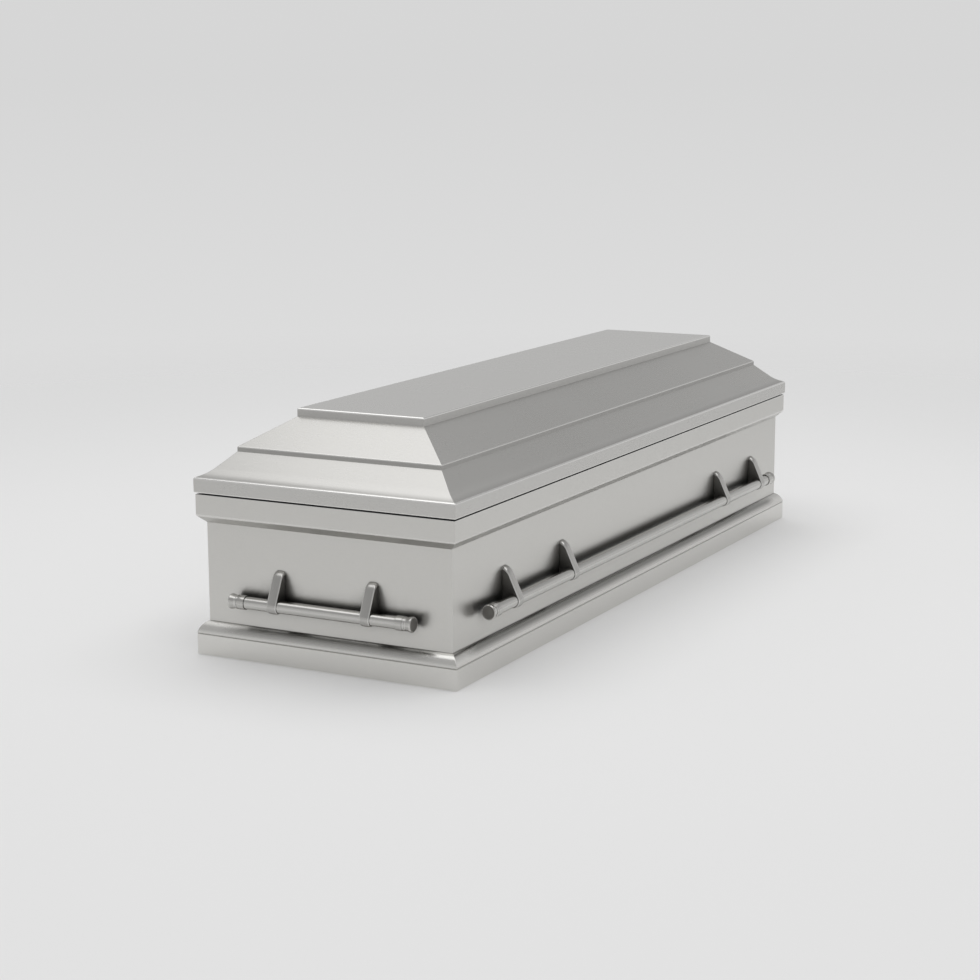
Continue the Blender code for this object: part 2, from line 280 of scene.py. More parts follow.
@dataclass(frozen=True)
class BrushedSteel:
    """Stainless steel with a fine straight grain, soft clouds, rubbed edges with a painted highlight, and
    painted shade.
    """

    name: str
    colour: Colour
    roughness: float
    grain_length: float = 0.030
    grain_width: float = 0.0016
    grain_tone: float = 0.05
    grain_depth: float = 0.00001
    grain_relief: float = 0.15
    grain_rough: float = 0.04
    mottle_size: float = 0.0075
    mottle_tone: float = 0.025
    cloud_size: float = 0.35
    cloud_tone: float = 0.06
    cloud_rough: float = 0.05
    fine_detail: float = 2.0
    cloud_detail: float = 3.0
    tone_low: float = 0.80
    tone_high: float = 1.20
    tone_gain: float = 2.5
    # Rubbed edges are made smoother and blended towards this near-white colour, a painted highlight.
    edge_highlight_colour: Colour = (0.97, 0.965, 0.95)
    edge_highlight_share: float = 0.65
    edge_rough: float = 0.08
    # Crevices, found by ambient occlusion, are darkened towards a near-black colour: painted shade.
    crevice_reach: float = 0.055
    crevice_samples: int = 6
    clear_of_floor: float = 0.052
    clear_per_metre: float = 150.0
    crevice_shade_colour: Colour = (0.05, 0.048, 0.045)
    open_from: float = 0.30
    open_to: float = 0.80
    # Marked places are made rougher and blended towards this dark colour, painted shade.
    dull_shade_colour: Colour = (0.20, 0.195, 0.185)
    dull_roughness: float = 0.45

    def build(self) -> bpy.types.Material:
        """Make the finish.

        Returns:
            The material, named as the record's slot.
        """
        material, tree = blank_material(self.name)
        run = tree.add("ShaderNodeUVMap", {"uv_map": RUN_MAP}, {}).outputs[0]
        place = tree.add("ShaderNodeTexCoord", {}, {}).outputs["Object"]
        stretch = {"Vector": run, "Scale": (1.0 / self.grain_length, 1.0 / self.grain_width, 1.0)}
        along = tree.add("ShaderNodeMapping", {}, stretch).outputs[0]
        grain = tree.noise(along, 1.0, self.fine_detail) - 0.5
        mottle = tree.noise(place, 1.0 / self.mottle_size, self.fine_detail) - 0.5
        cloud = tree.noise(place, 1.0 / self.cloud_size, self.cloud_detail) - 0.5
        edge = tree.layer(EDGE_LAYER)
        dull = tree.layer(DULL_AND_SHADE_LAYER)
        tone = grain * self.grain_tone + mottle * self.mottle_tone + cloud * self.cloud_tone
        low = tuple(self.tone_low * part for part in self.colour)
        high = tuple(min(self.tone_high * part, 1.0) for part in self.colour)
        share = (0.5 + tone * self.tone_gain).clamped()
        bright = tree.blend(share, (*low, 1.0), (*high, 1.0))
        # Painted highlight: marked edges are blended towards a near-white colour.
        bright = tree.blend(edge * self.edge_highlight_share, bright, (*self.edge_highlight_colour, 1.0))
        # Painted shade: marked places are darkened towards a dark colour, and they are also made rougher.
        colour = tree.blend(dull, bright, (*self.dull_shade_colour, 1.0))
        # Painted shade: crevices are darkened towards a near-black colour.
        colour = tree.blend(self._crevice_shade(tree, place), colour, (*self.crevice_shade_colour, 1.0))
        rough = self.roughness - grain * self.grain_rough + cloud * self.cloud_rough
        rough = rough - edge * self.edge_rough + dull * (self.dull_roughness - self.roughness)
        relief = {"Height": grain, "Strength": self.grain_relief, "Distance": self.grain_depth}
        normal = tree.add("ShaderNodeBump", {}, relief).outputs[0]
        sockets = {"Base Color": colour, "Roughness": rough, "Metallic": 1.0, "Normal": normal}
        tree.surface(tree.add("ShaderNodeBsdfPrincipled", {}, sockets))
        return material

    def _crevice_shade(self, tree: NodeTree, place: bpy.types.NodeSocket) -> Number:
        """How far painted shade darkens a place in a crevice, other than the one between the casket and
        the floor.

        Args:
            tree: The tree to add to.
            place: The place on the piece.

        Returns:
            A share from 0 to 1.
        """
        settings = {"samples": self.crevice_samples}
        reach = {"Distance": self.crevice_reach}
        openness = Number(tree, tree.add("ShaderNodeAmbientOcclusion", settings, reach).outputs["AO"])
        closed = ((self.open_to - openness) * (1.0 / (self.open_to - self.open_from))).clamped()
        height = Number(tree, tree.add("ShaderNodeSeparateXYZ", {}, {"Vector": place}).outputs["Z"])
        return closed * ((height - self.clear_of_floor) * self.clear_per_metre).clamped()


@dataclass(frozen=True)
class MattRubber:
    """Black cellular rubber with a faint bloom."""

    name: str
    colour: Colour
    bloom: Colour
    roughness: float
    shine: float = 0.12
    pore_size: float = 0.0012
    pore_detail: float = 2.0
    pore_depth: float = 0.0002
    pore_relief: float = 0.5
    pore_rough: float = 0.15
    bloom_per_metre: float = 9.0
    bloom_detail: float = 3.0
    bloom_gain: float = 1.6
    bloom_cut: float = 0.5

    def build(self) -> bpy.types.Material:
        """Make the finish.

        Returns:
            The material, named as the record's slot.
        """
        material, tree = blank_material(self.name)
        place = tree.add("ShaderNodeTexCoord", {}, {}).outputs["Object"]
        pores = tree.noise(place, 1.0 / self.pore_size, self.pore_detail)
        bloom = tree.noise(place, self.bloom_per_metre, self.bloom_detail)
        bloom = (bloom * self.bloom_gain - self.bloom_cut).clamped()
        colour = tree.blend(bloom, (*self.colour, 1.0), (*self.bloom, 1.0))
        relief = {"Height": pores, "Strength": self.pore_relief, "Distance": self.pore_depth}
        normal = tree.add("ShaderNodeBump", {}, relief).outputs[0]
        rough = self.roughness + (pores - 0.5) * self.pore_rough
        sockets = {"Base Color": colour, "Roughness": rough, "Normal": normal}
        sockets["Specular IOR Level"] = self.shine
        tree.surface(tree.add("ShaderNodeBsdfPrincipled", {}, sockets))
        return material


# Sections and meshes


@dataclass
class Mark:
    """One point of a section, with how far it is a rubbed edge with a painted highlight, how far it is
    made rougher and darkened with painted shade, and how much painted shade of a bar it takes.
    """

    inset: float
    height: float
    edge: float = 0.0
    dull: float = 0.0
    bar_shade: float = 0.0

    @property
    def place(self) -> Vector:
        """The point as a vector."""
        return Vector((self.inset, self.height))


class Section:
    """A path of marked points."""

    riser_foot: float = 0.0002
    bend_end_share: float = 0.5

    def __init__(self, inset: float, height: float) -> None:
        """Start the path at a point."""
        self.marks = [Mark(inset, height)]

    @property
    def end(self) -> Mark:
        """The last point."""
        return self.marks[-1]

    def line_to(
        self, inset: float, height: float, edge: float = 0.0, dull: float = 0.0, bar_shade: float = 0.0
    ) -> "Section":
        """Go straight to a point.

        Args:
            inset: The point's inset.
            height: The point's height.
            edge: How far the point counts as a rubbed edge, painted brighter as a highlight.
            dull: How far it is made rougher and darkened with painted shade.
            bar_shade: How far it is darkened with the painted shade and reflection of a bar.

        Returns:
            The section itself.
        """
        self.marks.append(Mark(inset, height, edge, dull, bar_shade))
        return self

    def riser_to(self, inset: float, height: float, dull: float) -> "Section":
        """Go up a riser that is made rougher and darker than the slopes with painted shade.

        Args:
            inset: The inset of the riser's top.
            height: The height of the riser's top.
            dull: How far the riser is made rougher and darkened with painted shade.

        Returns:
            The section itself.
        """
        self.line_to(self.end.inset, self.end.height + self.riser_foot, dull=dull)
        return self.line_to(inset, height, dull=dull)

    def bend(self, radius: float, heading: float, turn: float, steps: int, edge: float = 1.0) -> "Section":
        """Follow an arc from the last point.

        Args:
            radius: The arc's radius.
            heading: The direction of travel at its start, in degrees from inward.
            turn: How far it turns in degrees, to the left if positive.
            steps: How many straight pieces stand for it.
            edge: How far it counts as a rubbed edge, painted brighter as a highlight.

        Returns:
            The section itself.
        """
        side = 1.0 if turn > 0.0 else -1.0
        first = math.radians(heading)
        centre_u = self.end.inset - side * radius * math.sin(first)
        centre_z = self.end.height + side * radius * math.cos(first)
        for step in range(1, steps + 1):
            now = first + math.radians(turn) * step / steps
            inset = centre_u + side * radius * math.sin(now)
            height = centre_z - side * radius * math.cos(now)
            self.line_to(inset, height, edge if step < steps else self.bend_end_share * edge)
        return self

    def guarded(self, guard: float, shortest: float) -> "Section":
        """Add a point close to each end of every long straight, so that shading stays flat there.

        Args:
            guard: The new points' distance from the straight's ends.
            shortest: The length under which a straight is left as it is.

        Returns:
            A new section.
        """
        made = Section(self.marks[0].inset, self.marks[0].height)
        for before, mark in zip(self.marks, self.marks[1:]):
            run = mark.place - before.place
            if run.length > shortest:
                step = run * (guard / run.length)
                for place in (before.place + step, mark.place - step):
                    made.line_to(*place, dull=min(before.dull, mark.dull))
            made.line_to(*mark.place, mark.edge, mark.dull, mark.bar_shade)
        return made

    def offset(self, distance: float) -> "Section":
        """The path moved to the right of its travel, with mitred joints.

        Args:
            distance: How far it is moved.

        Returns:
            A new section.
        """
        made: Section | None = None
        for index, mark in enumerate(self.marks):
            before = self.marks[max(index - 1, 0)]
            after = self.marks[min(index + 1, len(self.marks) - 1)]
            total = Vector((0.0, 0.0))
            count = 0
            for run in (mark.place - before.place, after.place - mark.place):
                if run.length > 0.0:
                    total += Vector((run.y, -run.x)) / run.length
                    count += 1
            moved = mark.place + total * (distance * count / total.length_squared)
            if made is None:
                made = Section(*moved)
            else:
                made.line_to(*moved, mark.edge, mark.dull, mark.bar_shade)
        return made

    def travels(self) -> list[float]:
        """Measure the path.

        Returns:
            How far along the path each point is.
        """
        total = 0.0
        made = [0.0]
        for first, second in zip(self.marks, self.marks[1:]):
            total += (second.place - first.place).length
            made.append(total)
        return made


def smoothed(mesh: bpy.types.Mesh) -> bpy.types.Mesh:
    """Shade a mesh smooth, with its sharp edges marked.

    Args:
        mesh: The mesh, which is changed.

    Returns:
        The same mesh.
    """
    mesh.shade_smooth()
    mesh.set_sharp_from_angle(angle=SHARP_ANGLE)
    return mesh


class MeshBuilder:
    """A mesh in the making, with its grain map and its marks for painted edge highlights and for painted
    shade.
    """

    def __init__(self) -> None:
        """Start an empty mesh."""
        self.bm = bmesh.new()
        self.edge = self.bm.verts.layers.float.new(EDGE_LAYER)
        self.dull = self.bm.verts.layers.float.new(DULL_AND_SHADE_LAYER)
        self.run = self.bm.loops.layers.uv.new(RUN_MAP)

    def vertex(self, place: Sequence[float], edge: float = 0.0, dull: float = 0.0) -> bmesh.types.BMVert:
        """Add a point.

        Args:
            place: Where it is.
            edge: How far it counts as a rubbed edge, painted brighter as a highlight.
            dull: How far it is made rougher and darkened with painted shade.

        Returns:
            The new vertex.
        """
        made = self.bm.verts.new(place)
        made[self.edge] = edge
        made[self.dull] = dull
        return made

    def face(self, corners: Sequence[bmesh.types.BMVert], grain: Sequence[Point]) -> None:
        """Add a face.

        Args:
            corners: Its vertices in order.
            grain: The place of each on the grain map, in metres.
        """
        made = self.bm.faces.new(corners)
        for loop, place in zip(made.loops, grain):
            loop[self.run].uv = place

    def finished(self, name: str) -> bpy.types.Mesh:
        """Turn the faces outward and make the mesh.

        Args:
            name: The mesh's name.

        Returns:
            A smooth-shaded mesh with its sharp edges marked.
        """
        bmesh.ops.recalc_face_normals(self.bm, faces=self.bm.faces)
        mesh = bpy.data.meshes.new(name)
        self.bm.to_mesh(mesh)
        self.bm.free()
        return smoothed(mesh)


def show(name: str, mesh: bpy.types.Mesh) -> bpy.types.Object:
    """Put a mesh in the scene as an object at the origin.

    Args:
        name: The object's name.
        mesh: The mesh that it shows.

    Returns:
        The object.
    """
    piece = bpy.data.objects.new(name, mesh)
    bpy.context.scene.collection.objects.link(piece)
    return piece


def hand_over(piece: bpy.types.Object, nodes: Sequence[str]) -> None:
    """Let a finished piece stand for its nodes, and report it.

    Args:
        piece: The finished piece.
        nodes: The nodes that it stands for.
    """
    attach(piece, BODY)
    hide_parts(*nodes)
    LOG.info("%s: %d faces, for %s", piece.name, len(piece.data.polygons), ", ".join(nodes))


@dataclass(frozen=True)
class Footprint:
    """The rounded rectangle over the base moulding, from which every inset runs inward.

    The guards are distances from a corner at which a ring has more points, the nearest first. The painted
    shade and reflection of a bar fades out between the last two.
    """

    length: float
    width: float
    corner_radius: float = 0.0009
    corner_steps: int = 6
    guards: tuple[float, ...] = (0.0012, 0.050, 0.110)
    face_spacing: float = 7.3

    @classmethod
    def of_node(cls, node: str) -> "Footprint":
        """The footprint of the node that reaches furthest out."""
        low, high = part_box(node)
        return cls(high.x - low.x, high.y - low.y)

    @property
    def per_corner(self) -> int:
        """How many points each corner has, with its guards on each side of its arc."""
        return self.corner_steps + 1 + 2 * len(self.guards)

    def ring(self, inset: float, height: float, radius: float) -> list[Vector]:
        """One level round the casket.

        Args:
            inset: How far it lies inside the footprint.
            height: Its height.
            radius: Its corners' radius.

        Returns:
            The points, from the right face round by the back.
        """
        half_length = self.length / 2.0 - inset - radius
        half_width = self.width / 2.0 - inset - radius
        points = []
        for corner, (side_x, side_y) in enumerate(((1, 1), (-1, 1), (-1, -1), (1, -1))):
            centre = Vector((side_x * half_length, side_y * half_width, height))
            turned = Matrix.Rotation(math.radians(90.0 * corner), 3, "Z")
            for reach in reversed(self.guards):
                points.append(centre + turned @ Vector((radius, -reach, 0.0)))
            for step in range(self.corner_steps + 1):
                angle = math.radians(90.0 * step / self.corner_steps)
                arc = Vector((radius * math.cos(angle), radius * math.sin(angle), 0.0))
                points.append(centre + turned @ arc)
            for reach in self.guards:
                points.append(centre + turned @ Vector((-reach, radius, 0.0)))
        return points

    def bar_shade_share(self, index: int) -> float:
        """How far a ring's point takes the painted shade of a bar: fully on the furthest guards, and else
        not.
        """
        return 1.0 if index % self.per_corner in (0, self.per_corner - 1) else 0.0

    def grain_place(self, segment: int, point: Vector, travel: float) -> Point:
        """Where a point of one ring segment lies on the grain map.

        Args:
            segment: The segment's number in its ring.
            point: The point.
            travel: How far along the section the point is.

        Returns:
            The place, along the face and along the section.
        """
        corner, place = divmod(segment, self.per_corner)
        past_middle = place >= len(self.guards) + self.corner_steps // 2
        face = (corner + int(past_middle)) % 4
        along = point.y if face % 2 == 0 else point.x
        return (along + self.face_spacing * face, travel)


@dataclass
class SheetPiece:
    """A piece of formed sheet that runs round the whole casket."""

    footprint: Footprint
    sheet: float = 0.0015
    fit_gap: float = 0.0003
    fold_radius: float = 0.0020
    fold_steps: int = 5
    guard: float = 0.0010
    shortest_straight: float = 0.0070
    flat_margin: float = 0.060
    skin_spacing: float = 3.7
    inner_corner_radius: float = 0.0002

    node: ClassVar[str] = ""
    slot: ClassVar[str] = ""
    flat_end: ClassVar[FlatEnd] = FlatEnd.NONE

    def section(self) -> Section:
        """The sheet's outer side, which each piece draws for itself."""
        raise NotImplementedError

    def mesh(self) -> bpy.types.Mesh:
        """Run the section round the casket as a sheet of its true thickness.

        Returns:
            The finished mesh.
        """
        builder = MeshBuilder()
        outer = self.section().guarded(self.guard, self.shortest_straight)
        sections = {Skin.OUTER: outer, Skin.INNER: outer.offset(self.sheet)}
        travels = outer.travels()
        rings: dict[Skin, list[list[bmesh.types.BMVert]]] = {}
        for skin, section in sections.items():
            radius = self.footprint.corner_radius
            if skin is Skin.INNER:
                radius = max(radius - self.sheet, self.inner_corner_radius)
            rings[skin] = []
            for mark in section.marks:
                level = []
                for index, point in enumerate(self.footprint.ring(mark.inset, mark.height, radius)):
                    # Painted shade: each point takes the larger of its section's shade mark and the bar's
                    # painted shade where the ring allows it.
                    painted_shade = max(mark.dull, mark.bar_shade * self.footprint.bar_shade_share(index))
                    level.append(builder.vertex(point, mark.edge, painted_shade))
                rings[skin].append(level)
        for skin, levels in rings.items():
            shift = self.skin_spacing * skin.value
            for index in range(len(levels) - 1):
                pair = (travels[index] + shift, travels[index + 1] + shift)
                self._band(builder, levels[index], levels[index + 1], pair)
        for end, place in ((FlatEnd.FIRST, 0), (FlatEnd.LAST, -1)):
            outer_ring, inner_ring = rings[Skin.OUTER][place], rings[Skin.INNER][place]
            if end is self.flat_end:
                for ring in (outer_ring, inner_ring):
                    builder.face(ring, [(vertex.co.x, vertex.co.y) for vertex in ring])
            else:
                travel = travels[place]
                self._band(builder, outer_ring, inner_ring, (travel, travel + self.sheet))
        return builder.finished(self.node)

    def _band(
        self,
        builder: MeshBuilder,
        first: Sequence[bmesh.types.BMVert],
        second: Sequence[bmesh.types.BMVert],
        travels: tuple[float, float],
    ) -> None:
        """Join two levels with quads.

        Args:
            builder: The mesh in the making.
            first: The first level.
            second: The second level.
            travels: How far along the section the two levels are.
        """
        count = len(first)
        for index in range(count):
            after = (index + 1) % count
            corners = (first[index], first[after], second[after], second[index])
            places = (travels[0], travels[0], travels[1], travels[1])
            grain = [
                self.footprint.grain_place(index, corner.co, travel)
                for corner, travel in zip(corners, places)
            ]
            builder.face(corners, grain)

    def build(self, finishes: Finishes) -> None:
        """Make the piece and let it stand for its node.

        Args:
            finishes: The materials by slot.
        """
        piece = show(self.node + "_sheet", self.mesh())
        piece.data.materials.append(finishes[self.slot])
        hand_over(piece, [self.node])


@dataclass
class BaseMoulding(SheetPiece):
    """The frame round the foot: flange, fascia, quirk and rounded ovolo."""

    foot_flange_width: float = 0.047
    fascia_height: float = 0.0505
    quirk_depth: float = 0.0013
    quirk_rise: float = 0.0008
    curl_radius: float = 0.0056
    curl_lean: float = 40.0
    curl_end_lean: float = 18.0
    curl_steps: int = 10
    # How far the curl under the ovolo is darkened with painted shade.
    curl_shade: float = 0.42
    ovolo_top: float = 0.0815
    ovolo_flatness: float = 0.48
    # The painted shade and reflection of the bar across the ovolo's middle: its strength, middle and
    # spread.
    ovolo_bar_shade: float = 0.72
    bar_shade_middle: float = 0.52
    bar_shade_spread: float = 0.46
    ovolo_steps: int = 24
    ovolo_lip: float = 0.0006
    wall_inset: float = 0.0220

    node: ClassVar[str] = "base_moulding"
    slot: ClassVar[str] = "base_steel"

    def section(self) -> Section:
        """Draw the moulding's outer side.

        Returns:
            The path from the flange's inner edge up to the wall.
        """
        made = Section(self.foot_flange_width, 0.0).line_to(self.fold_radius, 0.0)
        made.bend(self.fold_radius, 180.0, -90.0, self.fold_steps)
        made.line_to(0.0, self.fascia_height)
        made.line_to(self.quirk_depth, self.fascia_height + self.quirk_rise, dull=self.curl_shade)
        sweep = -(self.curl_lean + self.curl_end_lean)
        made.bend(self.curl_radius, 90.0 + self.curl_lean, sweep, self.curl_steps, edge=0.0)
        # The curl's underside is darkened with painted shade, fading out towards the ovolo.
        for step, mark in enumerate(made.marks[-self.curl_steps:], start=1):
            mark.dull = self.curl_shade * (1.0 - step / self.curl_steps)
        foot = made.end
        reach = self.wall_inset - self.fit_gap - self.ovolo_lip - foot.inset
        rise = self.ovolo_top - foot.height
        for step in range(1, self.ovolo_steps + 1):
            part = step / self.ovolo_steps
            angle = math.pi / 2.0 * part
            inward = (1.0 - self.ovolo_flatness) * (1.0 - math.cos(angle)) + self.ovolo_flatness * part
            upward = (1.0 - self.ovolo_flatness) * math.sin(angle) + self.ovolo_flatness * part
            # Across the ovolo's middle, the painted shade and reflection of the bar.
            bar_shade = self.ovolo_bar_shade * max(0.0, 1.0 - abs(part - self.bar_shade_middle) / self.bar_shade_spread)
            made.line_to(foot.inset + reach * inward, foot.height + rise * upward, bar_shade=bar_shade)
        return made.line_to(made.end.inset + self.ovolo_lip, self.ovolo_top)


@dataclass
class CasketBody(SheetPiece):
    """The hollow box: floor, walls, flared rim and the land that the gasket lies on."""

    wall_inset: float = 0.0220
    wall_top: float = 0.3212
    rim_inset: float = 0.0034
    rim_flare_angle: float = 44.0
    rim_flare_radius: float = 0.008
    rim_flare_steps: int = 8
    # The flare's rounded edge takes a faint painted highlight, and its underside is darkened with painted
    # shade.
    rim_flare_highlight: float = 0.3
    flare_shade: float = 0.25
    rim_top: float = 0.3910
    land_inset: float = 0.0320

    node: ClassVar[str] = "casket_body"
    slot: ClassVar[str] = "body_steel"
    flat_end: ClassVar[FlatEnd] = FlatEnd.FIRST

    def section(self) -> Section:
        """Draw the body's outer side.

        Returns:
            The path from the floor, which is filled across, up to the land's inner edge.
        """
        floor = self.sheet + self.fit_gap
        made = Section(self.wall_inset + self.flat_margin, floor)
        made.line_to(self.wall_inset + self.fold_radius, floor)
        made.bend(self.fold_radius, 180.0, -90.0, self.fold_steps)
        made.line_to(self.wall_inset, self.wall_top)
        lean = math.radians(self.rim_flare_angle)
        arc_start = self.rim_inset + self.rim_flare_radius * (1.0 - math.sin(lean))
        arc_foot = self.wall_top + (self.wall_inset - arc_start) * math.tan(lean)
        # The flare's underside is darkened with painted shade.
        made.riser_to(arc_start, arc_foot, self.flare_shade)
        heading = 180.0 - self.rim_flare_angle
        turn = 90.0 - heading
        made.bend(self.rim_flare_radius, heading, turn, self.rim_flare_steps, edge=self.rim_flare_highlight)
        made.line_to(self.rim_inset, self.rim_top - self.fold_radius)
        made.bend(self.fold_radius, 90.0, -90.0, self.fold_steps)
        return made.line_to(self.land_inset, self.rim_top)


@dataclass
class CasketLid(SheetPiece):
    """The stepped hip lid: land, rim, cove, mid step, upper slope and raised top panel."""

    foot: float = 0.3945
    rim_inset: float = 0.0007
    land_inset: float = 0.0320
    rim_height: float = 0.0365
    rim_edge_radius: float = 0.0042
    cove_setback: float = 0.0025
    cove_start_angle: float = 16.0
    cove_end_angle: float = 43.5
    cove_radius: float = 0.087
    cove_steps: int = 24
    mid_step_inset: float = 0.0765
    mid_step_height: float = 0.0124
    mid_step_setback: float = 0.0020
    mid_step_edge_radius: float = 0.0036
    # How strong a painted highlight the mid step's rounded edge takes.
    mid_step_highlight: float = 0.55
    slab_inset: float = 0.1800
    upper_slope_rise: float = 0.0650
    slab_height: float = 0.0209
    slab_edge_radius: float = 0.0046
    # How far the cove's foot and the two risers are darkened with painted shade.
    cove_shade: float = 0.45
    cove_shade_reach: float = 0.5
    mid_riser_shade: float = 0.50
    slab_riser_shade: float = 0.24
    edge_steps: int = 6

    node: ClassVar[str] = "casket_lid"
    slot: ClassVar[str] = "lid_steel"
    flat_end: ClassVar[FlatEnd] = FlatEnd.LAST

    def section(self) -> Section:
        """Draw the lid's outer side.

        Returns:
            The path from the land's inner edge up to the top panel, which is filled across.
        """
        rim_top = self.foot + self.rim_height
        made = Section(self.land_inset, self.foot).line_to(self.rim_inset + self.fold_radius, self.foot)
        made.bend(self.fold_radius, 180.0, -90.0, self.fold_steps)
        made.line_to(self.rim_inset, rim_top - self.rim_edge_radius)
        made.bend(self.rim_edge_radius, 90.0, -90.0, self.edge_steps)
        sweep = self.cove_end_angle - self.cove_start_angle
        cove = Section(self.rim_inset + self.cove_setback, rim_top)
        cove.bend(self.cove_radius, self.cove_start_angle, sweep, self.cove_steps, edge=0.0)
        # The cove's foot is darkened with painted shade, fading out up the cove.
        for index, mark in enumerate(cove.marks):
            if mark.inset > made.end.inset + self.fit_gap:
                shade = max(0.0, 1.0 - index / (self.cove_shade_reach * self.cove_steps))
                made.line_to(mark.inset, mark.height, dull=self.cove_shade * shade)
        cove_slope = math.tan(math.radians(self.cove_end_angle))
        step_foot = made.end.height + (self.mid_step_inset - made.end.inset) * cove_slope
        step_top = step_foot + self.mid_step_height
        slope = math.atan2(self.upper_slope_rise, self.slab_inset - self.mid_step_inset)
        made.line_to(self.mid_step_inset, step_foot)
        softened = self.mid_step_edge_radius - self.mid_step_setback
        spring = step_top - self.mid_step_setback - softened * math.tan(math.pi / 4.0 - slope / 2.0)
        # The mid step's riser is darkened with painted shade.
        made.riser_to(self.mid_step_inset, spring, self.mid_riser_shade)
        turn = math.degrees(slope) - 90.0
        made.bend(self.mid_step_edge_radius, 90.0, turn, self.edge_steps, edge=self.mid_step_highlight)
        slab_foot = made.end.height + (self.slab_inset - made.end.inset) * math.tan(slope)
        made.line_to(self.slab_inset, slab_foot)
        slab_spring = slab_foot + self.slab_height - self.slab_edge_radius
        # The slab's riser is darkened with painted shade.
        made.riser_to(self.slab_inset, slab_spring, self.slab_riser_shade)
        made.bend(self.slab_edge_radius, 90.0, -90.0, self.edge_steps)
        return made.line_to(self.slab_inset + self.flat_margin, made.end.height)


# Pieces that Geometry Nodes run round a path or stand at stations


class GeometryTree(NodeTree):
    """A Geometry Nodes tree with named inputs."""

    def __init__(self, name: str, inputs: dict[str, str]) -> None:
        """Start the tree.

        Args:
            name: The tree's name.
            inputs: The socket type of each named input, besides the geometry.
        """
        tree = bpy.data.node_groups.new(name, "GeometryNodeTree")
        super().__init__(tree)
        tree.interface.new_socket("Geometry", in_out="INPUT", socket_type="NodeSocketGeometry")
        for label, kind in inputs.items():
            tree.interface.new_socket(label, in_out="INPUT", socket_type=kind)
        tree.interface.new_socket("Geometry", in_out="OUTPUT", socket_type="NodeSocketGeometry")
        self.given = self.add("NodeGroupInput", {}, {}).outputs

    def rounded_rectangle(
        self, sides: dict[str, bpy.types.NodeSocket], radius: bpy.types.NodeSocket, steps: int
    ) -> bpy.types.NodeSocket:
        """A rectangle with rounded corners, as a curve.

        Args:
            sides: Its "Width" and "Height".
            radius: Its corners' radius.
            steps: How many points each corner gains.

        Returns:
            The curve.
        """
        square = self.add("GeometryNodeCurvePrimitiveQuadrilateral", {}, sides).outputs[0]
        rounding = {"Curve": square, "Radius": radius, "Count": steps}
        return self.add("GeometryNodeFilletCurve", {"mode": "POLY"}, rounding).outputs[0]

    def finish(self, geometry: bpy.types.NodeSocket) -> None:
        """End the tree in realized geometry with its finish.

        Args:
            geometry: What has been made.
        """
        real = self.add("GeometryNodeRealizeInstances", {}, {"Geometry": geometry}).outputs[0]
        sockets = {"Geometry": real, "Material": self.given["Finish"]}
        dressed = self.add("GeometryNodeSetMaterial", {}, sockets).outputs[0]
        self.add("NodeGroupOutput", {}, {0: dressed})

    def applied(self, piece: bpy.types.Object, values: dict[str, Any]) -> None:
        """Run the tree on a piece, and keep its result as a plain mesh.

        Args:
            piece: The object that carries the tree's geometry.
            values: The value of each named input.
        """
        modifier = piece.modifiers.new(self.tree.name, "NODES")
        modifier.node_group = self.tree
        for item in self.tree.interface.items_tree:
            if item.in_out == "INPUT" and item.name in values:
                modifier[item.identifier] = values[item.name]
        graph = bpy.context.evaluated_depsgraph_get()
        made = bpy.data.meshes.new_from_object(piece.evaluated_get(graph), depsgraph=graph)
        piece.modifiers.clear()
        piece.data = made
        made.name = piece.name


@dataclass
class LidGasket:
    """The black rubber frame between body and lid, set back from the rim's face."""

    width: float = 0.0200
    height: float = 0.0029
    corner_radius: float = 0.012
    corner_steps: int = 8
    edge_radius: float = 0.0006
    edge_steps: int = 3

    node: ClassVar[str] = "lid_gasket"
    slot: ClassVar[str] = "gasket_rubber"

    def tree(self) -> GeometryTree:
        """Build the nodes that run a rounded section round a rounded rectangle.

        Returns:
            The tree. Its inputs are the sizes, the place and the finish.
        """
        path_sizes = ("Path Length", "Path Width", "Corner Radius")
        section_sizes = ("Section Width", "Section Height", "Edge Radius")
        inputs = {label: "NodeSocketFloat" for label in path_sizes + section_sizes}
        inputs["Foot"] = "NodeSocketVector"
        inputs["Finish"] = "NodeSocketMaterial"
        made = GeometryTree("gasket_run", inputs)
        given = made.given
        rectangle = {"Width": given["Path Length"], "Height": given["Path Width"]}
        path = made.rounded_rectangle(rectangle, given["Corner Radius"], self.corner_steps)
        upright = made.add("GeometryNodeSetCurveNormal", {"mode": "Z_UP"}, {"Curve": path}).outputs[0]
        rectangle = {"Width": given["Section Width"], "Height": given["Section Height"]}
        section = made.rounded_rectangle(rectangle, given["Edge Radius"], self.edge_steps)
        swept = {"Curve": upright, "Profile Curve": section}
        run = made.add("GeometryNodeCurveToMesh", {}, swept).outputs[0]
        lift = {"Geometry": run, "Translation": given["Foot"]}
        made.finish(made.add("GeometryNodeTransform", {}, lift).outputs[0])
        return made

    def build(self, finishes: Finishes) -> None:
        """Make the gasket and let it stand for its node.

        Args:
            finishes: The materials by slot.
        """
        low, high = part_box(self.node)
        piece = show(self.node + "_rubber", bpy.data.meshes.new(self.node))
        values = {
            "Path Length": high.x - low.x - self.width,
            "Path Width": high.y - low.y - self.width,
            "Corner Radius": self.corner_radius,
            "Section Width": self.width,
            "Section Height": self.height,
            "Edge Radius": self.edge_radius,
            "Foot": (0.0, 0.0, (low.z + high.z) / 2.0),
            "Finish": finishes[self.slot],
        }
        self.tree().applied(piece, values)
        smoothed(piece.data)
        hand_over(piece, [self.node])


@dataclass(frozen=True)
class Station:
    """Where one repeated piece stands, and how it is turned about the vertical."""

    node: str
    place: Vector
    turn: float


